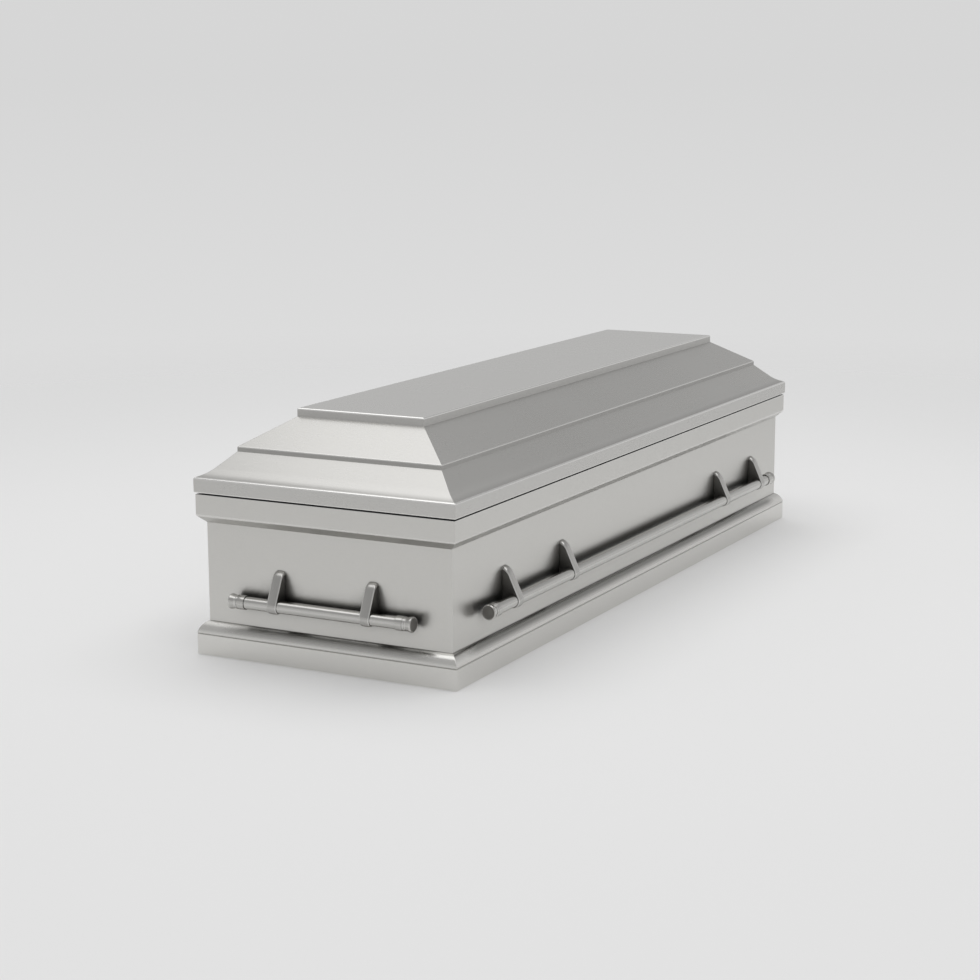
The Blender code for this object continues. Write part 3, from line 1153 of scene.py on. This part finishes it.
class StationTree:
    """Geometry Nodes that stand one made piece at every station."""

    def __init__(self) -> None:
        """Build the tree."""
        inputs = {"Piece": "NodeSocketObject", "Finish": "NodeSocketMaterial"}
        made = GeometryTree("pieces_at_stations", inputs)
        named = made.add("GeometryNodeInputNamedAttribute", {"data_type": "FLOAT"}, {"Name": TURN_LAYER})
        angles = made.add("ShaderNodeCombineXYZ", {}, {"Z": named.outputs[0]})
        turn = made.add("FunctionNodeEulerToRotation", {}, {0: angles.outputs[0]})
        piece = made.add("GeometryNodeObjectInfo", {}, {"Object": made.given["Piece"]})
        stand = {
            "Points": made.given["Geometry"],
            "Instance": piece.outputs["Geometry"],
            "Rotation": turn.outputs[0],
        }
        made.finish(made.add("GeometryNodeInstanceOnPoints", {}, stand).outputs[0])
        self.tree = made

    def build(
        self,
        name: str,
        mesh: bpy.types.Mesh,
        stations: Sequence[Station],
        finishes: Finishes,
        slot: str,
    ) -> None:
        """Stand a mesh at each station as one piece, which stands for the stations' nodes.

        Args:
            name: The finished piece's name.
            mesh: The mesh that is repeated.
            stations: Where it stands.
            finishes: The materials by slot.
            slot: The record's material slot.
        """
        points = bpy.data.meshes.new(name + "_points")
        points.from_pydata([station.place for station in stations], [], [])
        turns = points.attributes.new(TURN_LAYER, "FLOAT", "POINT")
        turns.data.foreach_set("value", [station.turn for station in stations])
        master = show(name + "_master", mesh)
        piece = show(name, points)
        self.tree.applied(piece, {"Piece": master, "Finish": finishes[slot]})
        bpy.data.objects.remove(master)
        hand_over(piece, [station.node for station in stations])


class Lathe:
    """A piece turned about X, from rings that each have a place, a radius and their marks."""

    closing_travel: float = 0.002

    def __init__(self, sides: int) -> None:
        """Start the piece.

        Args:
            sides: How many flats stand for the round.
        """
        self.sides = sides
        self.rings: list[tuple[float, float, float, float]] = []

    def ring(self, along: float, radius: float, edge: float = 0.0, dull: float = 0.0) -> "Lathe":
        """Add a ring.

        Args:
            along: Its place along X.
            radius: Its radius.
            edge: How far it counts as a rubbed edge, painted brighter as a highlight.
            dull: How far it is made rougher and darkened with painted shade.

        Returns:
            The lathe itself.
        """
        self.rings.append((along, radius, edge, dull))
        return self

    def rounded(self, points: Sequence[tuple[float, float, float]], steps: int) -> "Lathe":
        """Add rings along a path whose corners are rounded.

        Args:
            points: The path's points as a place, a radius and how much the corner is rounded.
            steps: How many straight pieces stand for a rounded corner.

        Returns:
            The lathe itself.
        """
        for index, (along, radius, cut) in enumerate(points):
            if cut == 0.0 or index in (0, len(points) - 1):
                self.ring(along, radius)
                continue
            corner = Vector((along, radius))
            before = (Vector(points[index - 1][:2]) - corner).normalized() * cut
            after = (Vector(points[index + 1][:2]) - corner).normalized() * cut
            for step in range(steps + 1):
                part = step / steps
                place = corner + before * (1.0 - part) ** 2 + after * part ** 2
                # A rounded corner takes a painted highlight, strongest half way round.
                self.ring(place.x, place.y, edge=math.sin(math.pi * part))
        return self

    def mesh(self, name: str, closed: bool) -> bpy.types.Mesh:
        """Turn the rings into a mesh.

        Args:
            name: The mesh's name.
            closed: Whether the last ring joins the first, as in a tube, or both ends are filled.

        Returns:
            The finished mesh.
        """
        builder = MeshBuilder()
        levels = []
        travels = [0.0]
        for index, (along, radius, edge, dull) in enumerate(self.rings):
            if index:
                last = self.rings[index - 1]
                travels.append(travels[-1] + math.hypot(along - last[0], radius - last[1]))
            level = []
            for side in range(self.sides):
                angle = 2.0 * math.pi * side / self.sides
                point = (along, radius * math.cos(angle), radius * math.sin(angle))
                level.append(builder.vertex(point, edge=edge, dull=dull))
            levels.append(level)
        girth = 2.0 * math.pi * max(radius for _, radius, _, _ in self.rings)
        count = len(levels) if closed else len(levels) - 1
        for index in range(count):
            after = (index + 1) % len(levels)
            start = travels[index]
            stop = travels[after] if after else start + self.closing_travel
            near, far = levels[index], levels[after]
            for side in range(self.sides):
                beside = (side + 1) % self.sides
                corners = (near[side], near[beside], far[beside], far[side])
                around = (girth * side / self.sides, girth * (side + 1) / self.sides)
                grain = ((start, around[0]), (start, around[1]), (stop, around[1]), (stop, around[0]))
                builder.face(corners, grain)
        if not closed:
            for level in (levels[0], levels[-1]):
                builder.face(level, [(vertex.co.y, vertex.co.z) for vertex in level])
        return builder.finished(name)


@dataclass
class Bar:
    """A straight steel tube, open at both ends, with its axis on X."""

    radius: float = 0.0150
    wall: float = 0.0015
    mouth_softness: float = 0.0003
    sides: int = 72

    def mesh(self, name: str, length: float) -> bpy.types.Mesh:
        """Make one tube.

        Args:
            name: The mesh's name.
            length: Its length.

        Returns:
            The finished mesh.
        """
        half = length / 2.0
        bore = self.radius - self.wall
        soft = self.mouth_softness
        turned = Lathe(self.sides)
        # The tube's mouths take a painted highlight.
        turned.ring(-half, self.radius - soft, edge=1.0).ring(-half + soft, self.radius)
        turned.ring(half - soft, self.radius).ring(half, self.radius - soft, edge=1.0)
        turned.ring(half, bore).ring(-half, bore)
        return turned.mesh(name, closed=True)


@dataclass
class Tip:
    """A turned tip: spigot, sleeve, groove, bead and a flare out to the end disc, along +X."""

    length: float = 0.0425
    spigot_length: float = 0.0140
    spigot_radius: float = 0.0128
    sleeve_length: float = 0.0175
    sleeve_shoulder: float = 0.0008
    sleeve_radius: float = 0.0173
    groove_radius: float = 0.0157
    groove_round: float = 0.0004
    bead_start: float = 0.0205
    bead_end: float = 0.0245
    bead_radius: float = 0.0170
    bead_side: float = 0.0004
    bead_drop: float = 0.0003
    wide_round: float = 0.0012
    flare_start: float = 0.0270
    rim_start: float = 0.0385
    rim_end: float = 0.0408
    rim_radius: float = 0.0185
    rim_round: float = 0.0006
    shoulder_round: float = 0.0005
    round_steps: int = 4
    face_radius: float = 0.0168
    face_edge: float = 0.0004
    face_edge_share: float = 0.4
    dish_start: float = 0.0014
    dish_depth: float = 0.0004
    sides: int = 72

    def mesh(self) -> bpy.types.Mesh:
        """Make one tip.

        Returns:
            The finished mesh.
        """
        bead_middle = (self.bead_start + self.bead_end) / 2.0
        bead_shoulder = self.bead_radius - self.bead_drop
        shoulder = self.sleeve_length + self.sleeve_shoulder
        path = [
            (-self.spigot_length, self.spigot_radius, 0.0),
            (0.0, self.spigot_radius, 0.0),
            (0.0, self.sleeve_radius, self.rim_round),
            (self.sleeve_length, self.sleeve_radius, self.shoulder_round),
            (shoulder, self.groove_radius, self.groove_round),
            (self.bead_start, self.groove_radius, self.groove_round),
            (self.bead_start + self.bead_side, bead_shoulder, self.bead_drop),
            (bead_middle, self.bead_radius, self.wide_round),
            (self.bead_end - self.bead_side, bead_shoulder, self.bead_drop),
            (self.bead_end, self.groove_radius, self.groove_round),
            (self.flare_start, self.groove_radius, self.wide_round),
            (self.rim_start, self.rim_radius, self.rim_round),
            (self.rim_end, self.rim_radius, self.rim_round),
            (self.length, self.face_radius, 0.0),
        ]
        turned = Lathe(self.sides).rounded(path, self.round_steps)
        # The end face's rim takes a painted highlight, and its shallow dish is made rougher and darkened
        # with painted shade.
        turned.ring(self.length, self.face_radius - self.face_edge, edge=self.face_edge_share)
        for radius in (self.face_radius - self.dish_start, self.face_radius / 2.0):
            turned.ring(self.length - self.dish_depth, radius, dull=1.0)
        return turned.mesh("bar_tip", closed=False)


@dataclass
class Arm:
    """A cast arm round the bar's axis, which is local X. Its foot stands against the wall at +Y."""

    width: float = 0.0260
    edge_radius: float = 0.0020
    edge_steps: int = 5
    edge_start_share: float = 0.3
    dull_and_shade_start_share: float = 0.6
    side_guard: float = 0.0006
    crown: float = 0.0010
    top_corner_radius: float = 0.0060
    cross_steps: int = 10
    top_height: float = 0.0805
    shoulder_height: float = 0.0615
    shoulder_steps: int = 16
    brow_out: float = 0.0095
    brow_drop: float = 0.0020
    front_lean: float = 24.7
    underside_lean: float = 22.0
    ring_thickness: float = 0.0035
    ring_steps: int = 30
    standoff: float = 0.0280
    bar_radius: float = 0.0150
    fit_gap: float = 0.0003
    bore_sides: int = 60
    closing_travel: float = 0.01

    def outline(self) -> Section:
        """The arm from the side, as distances out from the wall and heights over the axis.

        Returns:
            The path out from the wall's top, down the front, round the bar and back below.
        """
        ring_radius = self.bar_radius + self.ring_thickness
        lean = math.radians(self.front_lean)
        under = math.radians(self.underside_lean)
        front_out = self.standoff + ring_radius * math.cos(lean)
        front_height = ring_radius * math.sin(lean)
        shoulder_out = front_out - (self.shoulder_height - front_height) * math.tan(lean)
        handle = (self.top_height - self.shoulder_height) / 2.0
        controls = (
            Vector((self.fit_gap, self.top_height)),
            Vector((self.brow_out, self.top_height - self.brow_drop)),
            Vector((shoulder_out - handle * math.tan(lean), self.shoulder_height + handle)),
            Vector((shoulder_out, self.shoulder_height)),
        )
        made = Section(*controls[0])
        for step in range(1, self.shoulder_steps + 1):
            part = step / self.shoulder_steps
            rest = 1.0 - part
            shares = (rest ** 3, 3.0 * rest ** 2 * part, 3.0 * rest * part ** 2, part ** 3)
            parts = (share * control for share, control in zip(shares, controls))
            made.line_to(*sum(parts, Vector((0.0, 0.0))))
        sweep = math.pi / 2.0 + lean + under
        for step in range(self.ring_steps + 1):
            angle = lean - sweep * step / self.ring_steps
            made.line_to(self.standoff + ring_radius * math.cos(angle), ring_radius * math.sin(angle))
        rise = (made.end.inset - self.fit_gap) * math.tan(under)
        return made.line_to(self.fit_gap, made.end.height + rise)

    def stations(self) -> list[tuple[float, float, float, float]]:
        """The slices across the arm: place, inset, painted edge highlight mark and painted shade mark.

        Returns:
            The slices from one side to the other.
        """
        half = self.width / 2.0
        # The arm's flat sides are made rougher and darkened with painted shade, and its rounded edges take
        # a painted highlight.
        side = [(half, self.edge_radius + self.side_guard, 0.0, 1.0)]
        for step in range(self.edge_steps + 1):
            angle = math.radians(90.0 * step / self.edge_steps)
            inset = self.edge_radius * (1.0 - math.sin(angle))
            place = half - self.edge_radius * (1.0 - math.cos(angle))
            marks = (1.0, 0.0) if step else (self.edge_start_share, self.dull_and_shade_start_share)
            side.append((place, inset, *marks))
        inner = half - self.edge_radius
        for step in range(1, self.cross_steps):
            side.append((inner * (1.0 - step / self.cross_steps), 0.0, 0.0, 0.0))
        mirrored = [(-place, inset, edge, dull) for place, inset, edge, dull in side]
        return mirrored + [(0.0, 0.0, 0.0, 0.0)] + side[::-1]

    def slice_points(self, outline: Section, place: float, inset: float) -> list[Vector]:
        """The arm's outline at one place along the bar.

        Args:
            outline: The outline at the arm's middle.
            place: The slice's place along the bar.
            inset: How far the edge rounding draws it in.

        Returns:
            The slice's points. Its ends stay on the wall.
        """
        half = self.width / 2.0
        drawn_in = outline.offset(inset + self.crown * (place / half) ** 2)
        over = max(abs(place) - (half - self.top_corner_radius), 0.0)
        drop = self.top_corner_radius - math.sqrt(self.top_corner_radius ** 2 - over ** 2)
        room = self.top_height - self.shoulder_height
        points = []
        for mark in drawn_in.marks:
            at_wall = mark is drawn_in.marks[0] or mark is drawn_in.end
            out = self.fit_gap if at_wall else mark.inset
            height = mark.height
            if height > self.shoulder_height:
                height -= drop * (height - self.shoulder_height) / room
            points.append(Vector((place, self.standoff - out, height)))
        return points

    def mesh(self) -> bpy.types.Mesh:
        """Make one arm.

        Returns:
            The finished mesh.
        """
        builder = MeshBuilder()
        outline = self.outline()
        travels = outline.travels()
        slices = []
        for place, inset, edge, dull in self.stations():
            points = self.slice_points(outline, place, inset)
            slices.append((place, [builder.vertex(point, edge, dull) for point in points]))
        for (place, near), (next_place, far) in zip(slices, slices[1:]):
            for step, travel in enumerate(travels):
                after = (step + 1) % len(travels)
                end = travels[after] if after else travel + self.closing_travel
                corners = (near[step], near[after], far[after], far[step])
                grain = ((travel, place), (end, place), (end, next_place), (travel, next_place))
                builder.face(corners, grain)
        self._bore(builder, slices[0][1], slices[-1][1])
        return builder.finished("bar_arm")

    def _bore(
        self,
        builder: MeshBuilder,
        first: list[bmesh.types.BMVert],
        last: list[bmesh.types.BMVert],
    ) -> None:
        """Close the arm's two sides, with the bar's bore running through them.

        Args:
            builder: The mesh in the making.
            first: The outline of the side towards local -X.
            last: The outline of the side towards local +X.
        """
        bore = self.bar_radius + self.fit_gap
        holes = []
        for side in (-1.0, 1.0):
            hole = []
            for step in range(self.bore_sides):
                angle = 2.0 * math.pi * step / self.bore_sides
                point = (side * self.width / 2.0, bore * math.cos(angle), bore * math.sin(angle))
                # The bore is made rougher and darkened with painted shade.
                hole.append(builder.vertex(point, dull=1.0))
            holes.append(hole)
        for step in range(self.bore_sides):
            after = (step + 1) % self.bore_sides
            corners = (holes[0][step], holes[0][after], holes[1][after], holes[1][step])
            builder.face(corners, [(vertex.co.x, vertex.co.z) for vertex in corners])
        for outer, hole in ((first, holes[0]), (last, holes[1])):
            edges = []
            for loop in (outer, hole):
                for pair in zip(loop, loop[1:] + loop[:1]):
                    edges.append(builder.bm.edges.get(pair))
            made = bmesh.ops.triangle_fill(builder.bm, use_beauty=True, edges=edges)
            for face in made["geom"]:
                if isinstance(face, bmesh.types.BMFace):
                    for loop in face.loops:
                        loop[builder.run].uv = (loop.vert.co.z, loop.vert.co.y)


@dataclass
class Handles:
    """The four bars with their tips and arms, set by the places of their nodes."""

    bar: Bar
    tip: Tip
    arm: Arm

    def axis(self, face: Face) -> Vector:
        """The middle of a face's bar."""
        low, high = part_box("bar_" + face.word)
        return (low + high) / 2.0

    def bar_stations(self, faces: Sequence[Face]) -> list[Station]:
        """Where the bars of some faces stand."""
        return [Station("bar_" + face.word, self.axis(face), face.turn) for face in faces]

    def tip_stations(self) -> list[Station]:
        """Where the tips stand, each turned to point out along its bar.

        Returns:
            Two stations for each bar.
        """
        made = []
        for face in Face:
            for end in face.ends:
                node = "bar_" + face.word + "_tip_" + end.word
                low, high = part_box(node)
                place = self.axis(face)
                for axis in (0, 1):
                    side = round(end.outward[axis])
                    if side > 0:
                        place[axis] = high[axis] - self.tip.length
                    elif side < 0:
                        place[axis] = low[axis] + self.tip.length
                made.append(Station(node, place, end.turn - math.pi / 2.0))
        return made

    def arm_stations(self) -> list[Station]:
        """Where the arms stand along their bars.

        Returns:
            A station for each arm's node.
        """
        made = []
        for face in Face:
            along = 0 if face in (Face.FRONT, Face.BACK) else 1
            stem = "bar_" + face.word + "_arm_"
            for node in sorted(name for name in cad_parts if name.startswith(stem)):
                low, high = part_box(node)
                place = self.axis(face)
                place[along] = (low[along] + high[along]) / 2.0
                made.append(Station(node, place, face.turn))
        return made

    def build(self, finishes: Finishes) -> None:
        """Make the bars, tips and arms.

        Args:
            finishes: The materials by slot.
        """
        tree = StationTree()
        for name, faces, along in (
            ("long_bars", (Face.FRONT, Face.BACK), 0),
            ("end_bars", (Face.LEFT, Face.RIGHT), 1),
        ):
            low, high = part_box("bar_" + faces[0].word)
            mesh = self.bar.mesh(name, high[along] - low[along])
            tree.build(name, mesh, self.bar_stations(faces), finishes, "bar_steel")
        tree.build("bar_tips", self.tip.mesh(), self.tip_stations(), finishes, "tip_steel")
        tree.build("bar_arms", self.arm.mesh(), self.arm_stations(), finishes, "arm_steel")


# Studio


@dataclass
class Studio:
    """A plain pale floor that fades into the same pale air, and one large soft light overhead."""

    floor_colour: Colour = (0.95, 0.95, 0.95)
    floor_roughness: float = 0.9
    floor_shine: float = 0.1
    floor_half: float = 40.0
    fade_start: float = 1.2
    fade_end: float = 6.0
    air_levels: tuple[Point, ...] = (
        (0.0, 0.85),
        (0.30, 0.82),
        (0.41, 0.74),
        (0.44, 0.715),
        (0.47, 0.695),
        (0.50, 0.672),
        (0.60, 0.69),
        (0.73, 0.45),
        (0.80, 0.47),
        (0.88, 0.48),
        (1.0, 0.46),
    )
    softbox_size: float = 7.2
    softbox_height: float = 5.0
    softbox_power: float = 150.0
    camera_place: tuple[float, float, float] = (-5.0388, -2.5216, 1.3477)
    camera_azimuth: float = -62.33
    camera_elevation: float = 11.075
    camera_roll: float = -0.218
    lens: float = 76.93
    sensor: float = 36.0

    def floor(self) -> None:
        """Make the floor, which is no part of the casket."""
        material, tree = blank_material("studio_floor")
        place = tree.add("ShaderNodeTexCoord", {}, {}).outputs["Object"]
        distance = tree.add("ShaderNodeVectorMath", {"operation": "LENGTH"}, {0: place}).outputs["Value"]
        reach = {"Value": distance, "From Min": self.fade_start, "From Max": self.fade_end}
        fade = tree.add("ShaderNodeMapRange", {"interpolation_type": "SMOOTHSTEP"}, reach)
        paper = {"Base Color": (*self.floor_colour, 1.0), "Roughness": self.floor_roughness}
        paper["Specular IOR Level"] = self.floor_shine
        solid = tree.add("ShaderNodeBsdfPrincipled", {}, paper)
        clear = tree.add("ShaderNodeBsdfTransparent", {}, {})
        shares = {0: fade.outputs[0], 1: solid.outputs[0], 2: clear.outputs[0]}
        tree.surface(tree.add("ShaderNodeMixShader", {}, shares))
        half = self.floor_half
        corners = ((-half, -half, 0.0), (half, -half, 0.0), (half, half, 0.0), (-half, half, 0.0))
        mesh = bpy.data.meshes.new("studio_floor")
        mesh.from_pydata(corners, [], [(0, 1, 2, 3)])
        mesh.materials.append(material)
        piece = show("studio_floor", mesh)

    def air(self) -> None:
        """Light the scene from all round: pale at the horizon and below, dimmer overhead."""
        world = bpy.data.worlds.new("studio_air")
        world.use_nodes = True
        bpy.context.scene.world = world
        tree = NodeTree(world.node_tree)
        direction = tree.add("ShaderNodeTexCoord", {}, {}).outputs["Generated"]
        parts = tree.add("ShaderNodeSeparateXYZ", {}, {"Vector": direction})
        rise = Number(tree, parts.outputs["Z"]) * 0.5 + 0.5
        stops = [(place, (level, level, level)) for place, level in self.air_levels]
        ramp = tree.add("ShaderNodeValToRGB", {"stops": stops}, {0: rise})
        glow = tree.add("ShaderNodeBackground", {}, {"Color": ramp.outputs[0]})
        tree.add("ShaderNodeOutputWorld", {}, {"Surface": glow.outputs[0]})

    def softbox(self) -> None:
        """Hang the one square soft light over the casket."""
        lamp = bpy.data.lights.new("softbox", "AREA")
        lamp.shape = "SQUARE"
        lamp.size = self.softbox_size
        lamp.energy = self.softbox_power
        holder = bpy.data.objects.new("softbox", lamp)
        holder.location = (0.0, 0.0, self.softbox_height)
        bpy.context.scene.collection.objects.link(holder)

    def camera(self) -> None:
        """Stand the camera where the photograph was taken from."""
        azimuth = math.radians(self.camera_azimuth)
        elevation = math.radians(self.camera_elevation)
        flat = math.cos(elevation)
        back = Vector((math.sin(azimuth) * flat, -math.cos(azimuth) * flat, math.sin(elevation)))
        right = Vector((math.cos(azimuth), math.sin(azimuth), 0.0))
        turned = Matrix.Rotation(math.radians(self.camera_roll), 3, back)
        axes = [turned @ right, turned @ back.cross(right), back]
        lens = bpy.data.cameras.new("camera")
        lens.lens = self.lens
        lens.sensor_width = self.sensor
        camera = bpy.data.objects.new("camera", lens)
        camera.matrix_world = Matrix.Translation(self.camera_place) @ Matrix(axes).transposed().to_4x4()
        bpy.context.scene.collection.objects.link(camera)
        bpy.context.scene.camera = camera

    def build(self) -> None:
        """Set up floor, light and camera."""
        self.floor()
        self.air()
        self.softbox()
        self.camera()
        bpy.context.scene.view_settings.view_transform = "Standard"
        LOG.info("studio: floor, air, soft light and camera")


def make_finishes() -> Finishes:
    """Make every finish.

    Returns:
        The materials by the record's slot.
    """
    finishes = (
        BrushedSteel(
            "base_steel", (0.73, 0.722, 0.697), 0.22, crevice_reach=0.10, open_from=0.35, open_to=0.82
        ),
        BrushedSteel("body_steel", (0.63, 0.622, 0.598), 0.30, open_from=0.28, open_to=0.74),
        BrushedSteel("lid_steel", (0.57, 0.563, 0.545), 0.28),
        BrushedSteel("bar_steel", (0.58, 0.573, 0.553), 0.18, grain_length=0.020, mottle_tone=0.05),
        BrushedSteel(
            "tip_steel", (0.54, 0.533, 0.513), 0.16, grain_length=0.004, grain_width=0.010, edge_highlight_share=0.35
        ),
        BrushedSteel("arm_steel", (0.49, 0.483, 0.466), 0.22, grain_length=0.012, edge_highlight_share=0.35),
        MattRubber("gasket_rubber", (0.005, 0.005, 0.005), (0.012, 0.012, 0.011), 0.75),
    )
    return {finish.name: finish.build() for finish in finishes}


def main() -> None:
    """Build the casket piece by piece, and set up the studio."""
    logging.basicConfig(level=logging.INFO, format="%(message)s")
    finishes = make_finishes()
    footprint = Footprint.of_node("base_moulding")
    BaseMoulding(footprint).build(finishes)
    CasketBody(footprint).build(finishes)
    LidGasket().build(finishes)
    CasketLid(footprint).build(finishes)
    Handles(Bar(), Tip(), Arm()).build(finishes)
    Studio().build()


if __name__ == "__main__":
    main()
